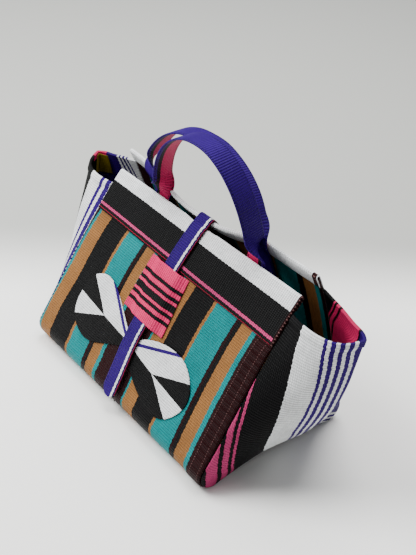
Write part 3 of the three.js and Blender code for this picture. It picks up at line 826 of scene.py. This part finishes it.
def sew(sewing: Sewing, faces: Faces, finishes: tuple[RibWeave, ...]) -> bpy.types.Object:
    """Make one finished cloth piece and put it in place of its plain solid.

    Args:
        sewing: names and how the cloth is held.
        faces: the piece's shape.
        finishes: the finish of each material slot.

    Returns:
        The new object.
    """
    piece = bpy.data.objects.new(sewing.name, faces.mesh(sewing.name))
    bpy.context.scene.collection.objects.link(piece)
    for finish in finishes:
        made = bpy.data.materials.get(finish.name)
        piece.data.materials.append(made if made else finish.build())
    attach(piece, "root")
    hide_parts(sewing.node)
    LOG.info("%s: %d faces, box %s", sewing.name, len(piece.data.polygons), np.round(faces.middle.max((0, 1)), 1))
    return piece


class SwayRow(NamedTuple):
    """How far the body's stripes have wandered to the right at one drop, in mm."""

    drop: float
    left: float
    middle: float
    right: float


STRIPE_SWAY = (
    SwayRow(45.0, 3.2, 4.6, 1.4),
    SwayRow(62.0, 1.3, 2.6, 0.4),
    SwayRow(80.0, 0.2, 0.8, -0.4),
    SwayRow(98.0, 0.0, 0.0, 0.0),
    SwayRow(125.0, -0.6, 0.9, 0.4),
    SwayRow(150.0, -2.4, 2.6, 1.2),
    SwayRow(170.0, -3.2, 4.4, 2.2),
    SwayRow(190.0, -0.8, 6.2, 4.4),
)


@dataclass
class Body:
    """The one cloth that runs down the front, under the base and up the back."""

    shape: BagShape
    columns: int = 96
    panel_rows: int = 92
    arc_rows: int = 10
    base_rows: int = 30
    hem_start: float = 127.0
    hem_lift: float = 0.7
    hem_rib_pitch: float = 3.9
    hem_rib: float = 0.8
    back_shift: float = 20.0

    def finish(self) -> RibWeave:
        """Return the body's striped cloth."""
        return BodyWeave("ribbed cotton, body stripes", BODY_STRIPES, start=-153.0)

    def sway(self, x: Array, drop: Array) -> Array:
        """Return how far the stripes have wandered at a place."""
        drops = [row.drop for row in STRIPE_SWAY]
        left, middle, right = (
            np.interp(drop, drops, [getattr(row, name) for row in STRIPE_SWAY]) for name in ("left", "middle", "right")
        )
        share = np.clip(x / 120, -1, 1)
        return np.where(share < 0, lerp(middle, left, -share), lerp(middle, right, share))

    def build(self) -> bpy.types.Object:
        """Make the body cloth."""
        front = self.shape.front
        stations = np.concatenate([
            np.linspace(0, 1, self.panel_rows * 2 + 1), np.linspace(1, 2, self.arc_rows + 1)[1:],
            np.linspace(2, 3, self.base_rows + 1)[1:], np.linspace(3, 4, self.arc_rows + 1)[1:],
            np.linspace(4, 5, self.panel_rows + 1)[1:],
        ])
        across, station = grid(np.linspace(-1, 1, self.columns + 1), stations)
        point = self.shape.body_middle(across, station)
        step = 0.004
        low = self.shape.body_middle(across, np.maximum(0, station - step))
        high = self.shape.body_middle(across, np.minimum(5, station + step))
        side = self.shape.body_middle(across + step, station) - self.shape.body_middle(across - step, station)
        normal = unit(np.cross(high - low, side))
        normal = np.where(((station >= 2) & (station <= 3))[..., None], np.array([0.0, 0.0, -1.0]), normal)
        half = self.shape.cloth.body / 2
        drop = np.where(station < 1, station * front.length, front.length + (station - 1) * front.arc_length)
        x = across * self.shape.base.width / 2
        on_front = smooth((drop - 54) / 4) * smooth((1.72 - station) / 0.2) * (station < 2)
        comb = np.abs(np.sin(np.pi * drop / self.hem_rib_pitch)) * self.hem_rib
        hem = smooth((x - self.hem_start) / 1.6) * on_front * (self.hem_lift + comb)
        moved = self.sway(x, np.minimum(drop, 190)) * (station < 2) + self.back_shift * smooth(station - 2)
        weave = np.stack([x - moved, run_lengths(point, 0)], -1)
        faces = Faces(point + normal * (half + hem)[..., None], point - normal * half, weave)
        return sew(Sewing("body_cloth", "body_panel", "body_cloth", Held.FOLDED), faces, (self.finish(),))


class SeamRow(NamedTuple):
    """How much of a wing's cloth is cut away at one level, at the front seam and near the fold, in mm."""

    down: float
    near: float
    far: float


RIGHT_SEAM = (
    SeamRow(0.0, 42.6, 42.6), SeamRow(0.1, 39.0, 39.0), SeamRow(0.2, 34.0, 34.0), SeamRow(0.3, 29.5, 29.5),
    SeamRow(0.4, 25.8, 25.8), SeamRow(0.5, 21.4, 22.0), SeamRow(0.6, 16.8, 18.0), SeamRow(0.7, 10.2, 12.0),
    SeamRow(0.8, 2.2, 0.5), SeamRow(0.85, -2.8, -7.0), SeamRow(0.9, -3.6, -11.7), SeamRow(0.93, -1.5, -11.7),
    SeamRow(0.96, 3.5, -10.0), SeamRow(1.0, 10.5, -4.6),
)
LEFT_SEAM = (
    SeamRow(0.0, 13.0, 14.0), SeamRow(0.3, 13.8, 13.8), SeamRow(0.6, 14.4, 10.0), SeamRow(0.8, 14.4, 4.0),
    SeamRow(1.0, 14.4, 0.0),
)


@dataclass
class Wing:
    """A side gusset that folds out along its middle. hand is 1 on the right and -1 on the left."""

    shape: BagShape
    hand: int
    columns: int = 130
    rows: int = 100
    hem: float = 8.5
    hem_lift: float = 1.5
    back_slant: float = 100.0
    back_slant_end: float = 0.2
    back_spread: float = 88.0
    slack: float = 0.9

    def finish(self) -> RibWeave:
        """Return the wing's striped cloth."""
        if self.hand > 0:
            return WingWeave("ribbed cotton, right wing stripes", RIGHT_WING_STRIPES, start=-9.0, wander=0.5)
        return WingWeave("ribbed cotton, left wing stripes", LEFT_WING_STRIPES, start=0.0, wander=0.5,
                         hem_middle=94.0, hem_width=20.0)

    def build(self) -> bpy.types.Object:
        """Make the wing."""
        across, down = grid(np.linspace(0, 1, self.columns + 1), np.linspace(0, 1, self.rows + 1) ** 1.15)
        point, normal = self.shape.wing_frame(self.hand, across, down)
        fade = np.sin(np.pi * across) ** 0.5 * smooth((1 - down) * 4) * np.abs(np.sin(2 * np.pi * across)) ** 0.5
        ripple = np.sin(across * 23 + down * 5) * 0.6 + np.sin(across * 11 - down * 9 + 1) * 0.5
        point = point + normal * (self.slack * fade * ripple)[..., None]
        arc = run_lengths(point, 1)
        fold = arc[:, self.columns // 2][:, None]
        seam = RIGHT_SEAM if self.hand > 0 else LEFT_SEAM
        near, far = (np.interp(down, [row.down for row in seam], [getattr(row, name) for row in seam])
                     for name in ("near", "far"))
        cut = lerp(near, far, np.clip(arc / 65, 0, 1))
        behind = arc - fold
        upper = 1 - smooth((down - 0.35) / 0.5)
        slant = self.back_slant * np.minimum(down, self.back_slant_end) * smooth(behind / 45) * upper
        slant = slant + self.back_spread * np.maximum(0, down - self.back_slant_end) * np.clip(behind / 100, 0, 1)
        fall = run_lengths(point, 0)
        weave = np.stack([arc + cut - slant, fall], -1)
        hem = self.hem_lift * smooth((self.hem - fall) / 1.1)
        half = self.shape.cloth.body / 2
        faces = Faces(point + normal * (half + hem)[..., None], point - normal * half, weave)
        name = "right" if self.hand > 0 else "left"
        return sew(Sewing(f"wing_{name}", f"gusset_{name}", "wing_cloth", Held.FOLDED), faces, (self.finish(),))


@dataclass
class Band:
    """A band folded over a rim: a rolled white edge, then black with a pink line."""

    shape: BagShape
    panel: Panel
    name: str
    node: str
    drop: float = 49.3
    slope: float = 2.2
    tuck: float = 12.0
    roll: float = 1.0
    columns: int = 150
    outside_rows: int = 34
    roll_rows: int = 14
    inside_rows: int = 8

    def finish(self) -> RibWeave:
        """Return the band's cloth."""
        return BandWeave("ribbed cotton, rim band", BAND_STRIPES, start=-20.0, wander=0.3, step=0.16)

    def build(self) -> bpy.types.Object:
        """Make the band."""
        stations = np.concatenate([
            np.linspace(0, 1, self.outside_rows + 1), np.linspace(1, 2, self.roll_rows + 1)[1:],
            np.linspace(2, 3, self.inside_rows + 1)[1:],
        ])
        across, station = grid(np.linspace(-1, 1, self.columns + 1), stations)
        depth = self.drop + self.slope * across
        drop = np.where(station < 1, depth * (1 - station), self.tuck * np.maximum(0, station - 2))
        x = across * self.panel.half_width(drop)
        point, normal, up = self.panel.frame(x, drop)
        turn = np.pi * np.clip(station - 1, 0, 1)
        clear = smooth((np.abs(x + 3) - 16) / 14)
        puff = self.roll * clear * np.sin(turn) ** 2
        radius = self.shape.cloth.band_lift + puff
        half = self.shape.cloth.band / 2

        def face(lift: float) -> Array:
            """Return one face, lifted off the band's middle."""
            reach = (radius + lift)[..., None]
            return point + normal * reach * np.cos(turn)[..., None] + up * reach * np.sin(turn)[..., None]

        middle = face(0.0)
        rise = run_lengths(middle, 0)
        edge = np.argmax(stations >= 1)
        down = (rise[edge] - rise) * (1 - 0.045 * across) - 1.2 * across
        weave = np.stack([down, x], -1)
        faces = Faces(face(half), face(-half), weave)
        return sew(Sewing(self.name, self.node, "band_cloth", Held.FOLDED), faces, (self.finish(),))


@dataclass
class Handle:
    """A strap sewn flat inside a panel, which turns edge-on and arches over."""

    shape: BagShape
    panel: Panel
    name: str
    node: str
    span: float
    rise: float
    centre: float
    lean: float
    sway: float
    width: float = 25.0
    tuck: float = 42.0
    clear: float = 4.0
    twist_start: float = 3.5
    twist_rise: float = 25.0
    columns: int = 14
    rows: int = 260
    crown: float = 0.5

    def finishes(self) -> tuple[RibWeave, ...]:
        """Return the outer and inner face of the strap."""
        return (
            StrapWeave("woven strap, purple face", HANDLE_OUTER, start=-12.5),
            StrapWeave("woven strap, striped face", HANDLE_INNER, start=-12.5, stitch_dye=Dye.MAROON),
        )

    def route(self) -> Route:
        """Return the line that the strap follows."""
        lift = self.shape.cloth.handle_lift

        def foot(hand: int, drop: float) -> Array:
            """Return a point of the sewn foot on one hand, at a drop from the rim."""
            point, normal, _ = self.panel.frame(np.array(self.centre + hand * self.span / 2), np.array(drop))
            return point - normal * lift

        spring = foot(1, -self.clear)
        stations = [foot(-1, drop) for drop in np.linspace(self.tuck, 0, 5)]
        for angle in np.linspace(0.03, 0.97, 13) * math.pi:
            height = self.rise * math.sin(angle)
            x = (self.centre + self.panel.rim_shift - self.span / 2 * math.cos(angle)
                 + self.sway * (height / self.rise) ** 2)
            root = foot(-1 if math.cos(angle) > 0 else 1, -self.clear)
            y = lerp(root[1], spring[1], smooth(height / self.rise)) + height * math.tan(math.radians(self.lean))
            stations.append(np.array([x, float(y), root[2] + height]))
        stations += [foot(1, drop) for drop in np.linspace(0, self.tuck, 5)]
        return Route(np.array(stations))

    def rim_line(self, hand: int) -> Array:
        """Return the direction of the rim at a foot of the strap."""
        x = self.centre + hand * self.span / 2
        ends = self.panel.middle(np.array([x - self.width / 2, x + self.width / 2]), np.zeros(2))
        return unit(ends[1] - ends[0])

    def build(self) -> bpy.types.Object:
        """Make the strap."""
        route = self.route()
        across, along = grid(np.linspace(-1, 1, self.columns + 1), np.linspace(0, 1, self.rows + 1))
        point = route.at(along)
        run = route.run(along)
        turned = smooth((point[..., 2] - self.panel.rim[1] - self.twist_start) / self.twist_rise)[..., None]
        angle = turned * np.pi / 2
        hand = np.where(along < 0.5, -1, 1)[..., None]
        line = np.where(hand < 0, self.rim_line(-1), self.rim_line(1))
        wide = line * hand * self.panel.side * np.cos(angle) + np.array([0.0, 1.0, 0.0]) * np.sin(angle)
        wide = unit(wide - run * (wide * run).sum(-1, keepdims=True))
        normal = unit(np.cross(run, wide))
        half = self.shape.cloth.handle / 2
        swell = half - self.crown * 0.5 + self.crown * 0.5 * np.sqrt(1 - 0.9 * across ** 2)
        centre_line = point + wide * (across * self.width / 2)[..., None]
        weave = np.stack([across * self.width / 2, along * route.length], -1)
        faces = Faces(centre_line + normal * swell[..., None], centre_line - normal * swell[..., None], weave,
                      inner_slot=1)
        return sew(Sewing(self.name, self.node, "handle_webbing"), faces, self.finishes())


class TabRow(NamedTuple):
    """Where the middle of the tab lies at one drop, in mm from the bag's centre line."""

    drop: float
    x: float


TAB_PATH = (
    TabRow(0.0, -4.2), TabRow(50.0, -6.0), TabRow(100.0, -7.6), TabRow(130.0, -8.0), TabRow(150.0, -6.8),
    TabRow(170.0, -4.6), TabRow(203.0, -1.6),
)


@dataclass
class Tab:
    """The closing tab: sewn on the back band, over both rims, under the keeper and over the bow."""

    shape: BagShape
    width: float = 22.0
    centre: float = -3.0
    back_drop: float = 34.0
    front_drop: float = 203.0
    laid_share: float = 0.9
    end_share: float = 0.12
    columns: int = 14
    rows: int = 240

    def finishes(self) -> tuple[RibWeave, ...]:
        """Return the outer and inner face of the tab."""
        return (
            StrapWeave("woven tab, purple face", TAB_OUTER, start=-11.0, half_width=11.0, stitch_inset=2.4),
            StrapWeave("woven tab, lining face", TAB_INNER, start=-11.0, half_width=11.0),
        )

    def build(self) -> bpy.types.Object:
        """Make the tab."""
        lift = self.shape.cloth.tab_lift
        front, back = self.shape.front, self.shape.back
        level = np.array(self.centre)

        def laid(panel: Panel, drop: float, degrees: float = 0.0) -> Array:
            """Return a point of the tab's middle on a panel, turned up over its rim by some degrees."""
            point, normal, up = panel.frame(level, np.array(drop))
            turn = math.radians(degrees)
            return point + normal * lift * math.cos(turn) + up * lift * math.sin(turn)

        clung = front.length * self.laid_share
        stations = [laid(back, drop) for drop in np.linspace(self.back_drop, 0, 6)]
        stations += [laid(back, 0, 45), laid(back, 0, 90), laid(front, 0, 45)]
        stations += [laid(front, drop) for drop in np.linspace(0, clung, 15)]
        _, _, up = front.frame(level, np.array(clung))
        hanging = (self.front_drop - clung) / 3
        stations += [laid(front, clung) - up * hanging * step for step in (1, 2, 3)]
        route = Route(np.array(stations))
        round_end = self.width / 2 / route.length
        along_steps = np.concatenate([
            np.linspace(0, 1 - round_end, self.rows + 1), 1 - round_end * (1 - np.linspace(0, 1, 14)[1:] ** 0.6),
        ])
        across, along = grid(np.linspace(-1, 1, self.columns + 1), along_steps)
        point = route.at(along)
        run = route.run(np.minimum(along, 1 - 2 / route.length))
        normal = unit(np.cross(run, np.array([1.0, 0.0, 0.0])))
        to_end = np.clip((along - (1 - round_end)) / round_end, 0, 1)
        half_width = self.width / 2 * np.maximum(self.end_share, np.sqrt(1 - to_end ** 2))
        on_front = along * route.length - (route.length - self.front_drop)
        path = np.interp(on_front, [row.drop for row in TAB_PATH], [row.x for row in TAB_PATH])
        shift = float(stations[0][0]) - self.centre
        middle_x = lerp(self.centre + shift * (1 - smooth(along * 4)), path, smooth((on_front + 30) / 30))
        point[..., 0] = middle_x + across * half_width
        half = self.shape.cloth.tab / 2
        swell = half * (0.82 + 0.18 * np.sqrt(1 - 0.9 * across ** 2))
        weave = np.stack([point[..., 0] - middle_x, along * route.length], -1)
        faces = Faces(point + normal * swell[..., None], point - normal * swell[..., None], weave, inner_slot=1)
        return sew(Sewing("closing_tab", "closure_tab", "tab_webbing"), faces, self.finishes())


@dataclass
class Keeper:
    """The pink patch that is sewn down at both sides and arches over the tab."""

    shape: BagShape
    width: float = 62.0
    height: float = 63.0
    centre: float = -9.0
    shoulder: float = 13.0
    splay: float = 8.0
    top: float = 50.3
    tab_half: float = 14.5
    tab_centre: float = -6.5
    columns: int = 80
    rows: int = 60

    def finish(self) -> RibWeave:
        """Return the patch's cloth."""
        return RibWeave("ribbed cotton, keeper stripes", KEEPER_STRIPES, start=50.0, wander=0.25, step=0.12)

    def build(self) -> bpy.types.Object:
        """Make the patch."""
        across, along = grid(np.linspace(-1, 1, self.columns + 1), np.linspace(0, 1, self.rows + 1))
        x = self.centre + across * (self.width + self.splay * along) / 2
        drop = self.top + (self.height + 2.6 * (across + 1) / 2) * along
        point, normal, _ = self.shape.front.frame(x, drop)
        side = np.abs(x - self.tab_centre) - self.tab_half
        arch = 1 - smooth(side / self.shoulder)
        lift = lerp(self.shape.cloth.trim_lift, self.shape.cloth.keeper_lift + 0.2, arch)[..., None]
        half = self.shape.cloth.trim / 2
        weave = np.stack([drop, x], -1)
        faces = Faces(point + normal * (lift + half), point + normal * (lift - half), weave)
        return sew(Sewing("keeper_cloth", "keeper_patch", "keeper_cloth", Held.LAID, ("body_cloth",)), faces,
                   (self.finish(),))


class LobeRow(NamedTuple):
    """A bow lobe's upper and lower edge at one place across, in mm on the front panel."""

    x: float
    upper: float
    lower: float


LEFT_LOBE = (
    LobeRow(-4.6, 139.0, 147.0), LobeRow(-22.0, 131.0, 153.0), LobeRow(-35.0, 123.0, 159.0), LobeRow(-50.0, 113.5, 166.5),
    LobeRow(-62.0, 106.5, 171.5), LobeRow(-75.0, 101.5, 173.2), LobeRow(-86.0, 101.0, 171.0), LobeRow(-95.0, 104.5, 167.0),
    LobeRow(-102.0, 109.5, 161.0), LobeRow(-107.0, 118.0, 153.5), LobeRow(-109.8, 130.0, 143.0),
)
RIGHT_LOBE = (
    LobeRow(-1.4, 137.0, 147.0), LobeRow(4.0, 130.5, 161.0), LobeRow(16.0, 124.0, 170.0), LobeRow(32.0, 119.0, 178.0),
    LobeRow(50.0, 117.0, 183.0), LobeRow(65.0, 119.0, 184.5), LobeRow(77.0, 125.0, 180.0), LobeRow(85.0, 132.0, 172.5),
    LobeRow(90.5, 138.5, 164.0), LobeRow(93.8, 147.0, 154.0),
)


@dataclass
class BowLobe:
    """One half of the bow: narrow under the tab and round at its end."""

    shape: BagShape
    name: str
    node: str
    outline: tuple[LobeRow, ...]
    weave: BowWeave
    columns: int = 50
    rows: int = 80

    def build(self) -> bpy.types.Object:
        """Make the lobe."""
        knots = np.array([(row.x, row.upper, row.lower) for row in self.outline])
        edges = Route(knots)
        spread = edges.at(1 - (1 - np.linspace(0, 1, self.rows + 1)) ** 1.25)
        across, _ = grid(np.linspace(0, 1, self.columns + 1), np.zeros(self.rows + 1))
        x = np.broadcast_to(spread[:, :1], across.shape)
        drop = lerp(spread[:, 1:2], spread[:, 2:3], across)
        share = np.abs(x - knots[0, 0]) / np.ptp(knots[:, 0])
        point, normal, _ = self.shape.front.frame(x, drop)
        pleat = np.sin(across * 3 * np.pi) ** 2 * (1 - share) * share * 1.6
        belly = np.sin(across * np.pi) * np.sin(np.pi * np.clip(share, 0, 1)) * 1.2
        clear = smooth((np.abs(x + 6.5) - 14) / 10)
        lift = (self.shape.cloth.trim_lift + (pleat + belly) * clear)[..., None]
        half = self.shape.cloth.trim / 2
        faces = Faces(point + normal * (lift + half), point + normal * (lift - half), np.stack([x, drop], -1))
        return sew(Sewing(self.name, self.node, "bow_cloth", Held.LAID, ("body_cloth",)), faces, (self.weave,))


@dataclass
class Label:
    """A small bare ribbon patch inside the back half of the left wing."""

    shape: BagShape
    width: float = 17.0
    height: float = 30.0
    across: float = 0.575
    down: float = 0.02
    columns: int = 16
    rows: int = 30

    def finish(self) -> RibWeave:
        """Return the label's ribbon: fine mustard cotton tape."""
        return RibWeave("cotton tape, mustard", (Stripe(Dye.MUSTARD, 30.0),), rib_pitch=1.6, rib_depth=0.15, shade=0.14)

    def build(self) -> bpy.types.Object:
        """Make the label."""
        cloth = self.shape.cloth
        wing_half = math.hypot(self.shape.wing_reach, self.shape.wing_setback)
        fall = self.shape.front.length + self.shape.front.arc_length - self.shape.hem_drop
        side, along = grid(np.linspace(-1, 1, self.columns + 1), np.linspace(0, 1, self.rows + 1))
        point, normal = self.shape.wing_frame(
            -1, self.across + side * self.width / wing_half / 2, self.down + along * self.height / fall,
        )
        lift = -(cloth.body / 2 + cloth.seam_gap + cloth.label / 2 + 0.9)
        half = cloth.label / 2
        weave = np.stack([side * self.width / 2 + 15, along * self.height], -1)
        faces = Faces(point + normal * (lift - half), point + normal * (lift + half), weave)
        return sew(Sewing("label_tape", "label", "label_cloth", Held.LAID, ("wing_left",)), faces, (self.finish(),))


# Studio

@dataclass(frozen=True)
class View:
    """The photograph's camera, in mm and degrees, for a frame of 416 by 555."""

    position: tuple[float, float, float] = (650.17, -518.71, 714.30)
    yaw: float = -49.8675
    pitch: float = 35.0
    roll: float = 3.0
    focal_pixels: float = 977.65
    frame_height: float = 555.0
    sensor_height: float = 24.0

    def build(self) -> bpy.types.Object:
        """Make the camera."""
        yaw, pitch, roll = (math.radians(value) for value in (self.yaw, self.pitch, self.roll))
        ahead = Vector((math.sin(yaw) * math.cos(pitch), math.cos(yaw) * math.cos(pitch), -math.sin(pitch)))
        level = Vector((math.cos(yaw), -math.sin(yaw), 0.0))
        above = level.cross(ahead)
        right = math.cos(roll) * level + math.sin(roll) * above
        up = -math.sin(roll) * level + math.cos(roll) * above
        data = bpy.data.cameras.new("view")
        data.sensor_fit = "VERTICAL"
        data.sensor_height = self.sensor_height
        data.sensor_width = self.sensor_height
        data.lens = self.focal_pixels / self.frame_height * self.sensor_height
        camera = bpy.data.objects.new("view", data)
        camera.matrix_world = Matrix.Translation(Vector(self.position) * METRES) @ Matrix(
            (right, up, -ahead)).transposed().to_4x4()
        bpy.context.scene.collection.objects.link(camera)
        bpy.context.scene.camera = camera
        return camera


@dataclass(frozen=True)
class Studio:
    """A pale floor of matt paper under soft light, painted darker far behind the bag as painted shade for the less lit
    wall of a seamless sweep.
    """

    size: float = 6.0
    paper: str = "F6F6F3"
    # Painted shade: the paper's grey far behind the bag, where a sweep's wall would get less light.
    shaded_far_paper: str = "A6A7A3"
    near_edge: float = 0.11
    far_edge: float = 0.3
    direction: tuple[float, float] = (-0.7646, 0.6445)

    def paper_finish(self) -> bpy.types.Material:
        """Return matt paper, which turns to a darker grey behind the bag: painted shade standing in for the less lit
        wall of a sweep.
        """
        material = bpy.data.materials.new("matt backdrop paper")
        material.use_nodes = True
        tree = material.node_tree
        tree.nodes.clear()
        place = add(tree, "ShaderNodeTexCoord").outputs["Object"]
        ahead = (*self.direction, 0.0)
        away = add(tree, "ShaderNodeVectorMath", {0: place, 1: ahead}, operation="DOT_PRODUCT").outputs["Value"]
        share = add(tree, "ShaderNodeMapRange", {
            "Value": away, "From Min": self.near_edge, "From Max": self.far_edge,
        }, interpolation_type="SMOOTHSTEP").outputs[0]
        # Blend from the pale paper to the painted shade behind the bag.
        tone = add(tree, "ShaderNodeMix", {0: share, 6: linear(self.paper), 7: linear(self.shaded_far_paper)},
                   data_type="RGBA").outputs[2]
        grain = add(tree, "ShaderNodeTexNoise", {"Vector": place, "Scale": 900.0, "Detail": 2.0}).outputs[0]
        bump = add(tree, "ShaderNodeBump", {"Height": grain, "Distance": 0.0002, "Strength": 0.1}).outputs[0]
        surface = add(tree, "ShaderNodeBsdfPrincipled", {
            "Base Color": tone, "Roughness": 0.9, "Specular IOR Level": 0.2, "Normal": bump,
        }).outputs[0]
        add(tree, "ShaderNodeOutputMaterial", {"Surface": surface})
        return material

    def floor(self) -> None:
        """Lay the floor."""
        half = self.size / 2
        mesh = bpy.data.meshes.new("floor")
        mesh.from_pydata([(-half, -half, 0), (half, -half, 0), (half, half, 0), (-half, half, 0)], [], [(0, 1, 2, 3)])
        mesh.materials.append(self.paper_finish())
        floor = bpy.data.objects.new("floor", mesh)
        bpy.context.scene.collection.objects.link(floor)

    def lamp(self, name: str, place: tuple[float, float, float], size: float, power: float) -> None:
        """Hang a square soft light that looks at the bag."""
        data = bpy.data.lights.new(name, "AREA")
        data.shape = "SQUARE"
        data.size = size
        data.energy = power
        lamp = bpy.data.objects.new(name, data)
        lamp.location = place
        lamp.rotation_euler = (Vector((0, 0, 0.09)) - Vector(place)).to_track_quat("-Z", "Y").to_euler()
        bpy.context.scene.collection.objects.link(lamp)

    def light(self) -> None:
        """Set the lamps and the room's even light."""
        self.lamp("key", (-1.05, -0.7, 1.45), 1.0, 66.0)
        self.lamp("top", (-0.35, 0.6, 1.8), 1.4, 56.0)
        world = bpy.data.worlds.new("room")
        world.use_nodes = True
        background = world.node_tree.nodes["Background"]
        background.inputs["Color"].default_value = linear("F1F2F4")
        background.inputs["Strength"].default_value = 0.34
        bpy.context.scene.world = world


def bow(shape: BagShape) -> list[BowLobe]:
    """Return both halves of the bow."""
    left = BowWeave(
        "ribbed cotton, left bow fan",
        (Stripe(Dye.BLACK, 148.5), Stripe(Dye.WHITE, 30.2), Stripe(Dye.BLACK, 29.8), Stripe(Dye.WHITE, 151.5)),
        apex=(-59.5, 138.0), turned=5.5, line_from=(-70.5, 101.5), line_to=(-23.0, 135.5), wander=0.3,
    )
    right = BowWeave(
        "ribbed cotton, right bow fan",
        (Stripe(Dye.WHITE, 150.0), Stripe(Dye.BLACK, 28.5), Stripe(Dye.WHITE, 26.4), Stripe(Dye.BLACK, 155.1)),
        apex=(38.0, 151.0), turned=189.0, line_from=(-2.5, 139.5), line_to=(50.5, 119.5), wander=0.3,
    )
    return [
        BowLobe(shape, "bow_left", "bow_lobe_left", LEFT_LOBE, left),
        BowLobe(shape, "bow_right", "bow_lobe_right", RIGHT_LOBE, right),
    ]


def main() -> None:
    """Build the view, the studio and each piece of the bag."""
    logging.basicConfig(level=logging.INFO, format="%(name)s %(message)s")
    View().build()
    studio = Studio()
    studio.floor()
    studio.light()
    shape = BagShape()
    pieces = [
        Body(shape), Wing(shape, 1), Wing(shape, -1),
        Band(shape, shape.front, "rim_band_front", "front_band"),
        Band(shape, shape.back, "rim_band_back", "back_band"),
        Handle(shape, shape.front, "handle_front", "front_handle", 155.0, 107.0, -0.5, -8.8, 8.0),
        Handle(shape, shape.back, "handle_back", "back_handle", 174.0, 71.0, -16.0, 6.2, -8.0),
        Tab(shape), Keeper(shape), *bow(shape), Label(shape),
    ]
    for piece in pieces:
        piece.build()


if __name__ == "__main__":
    main()
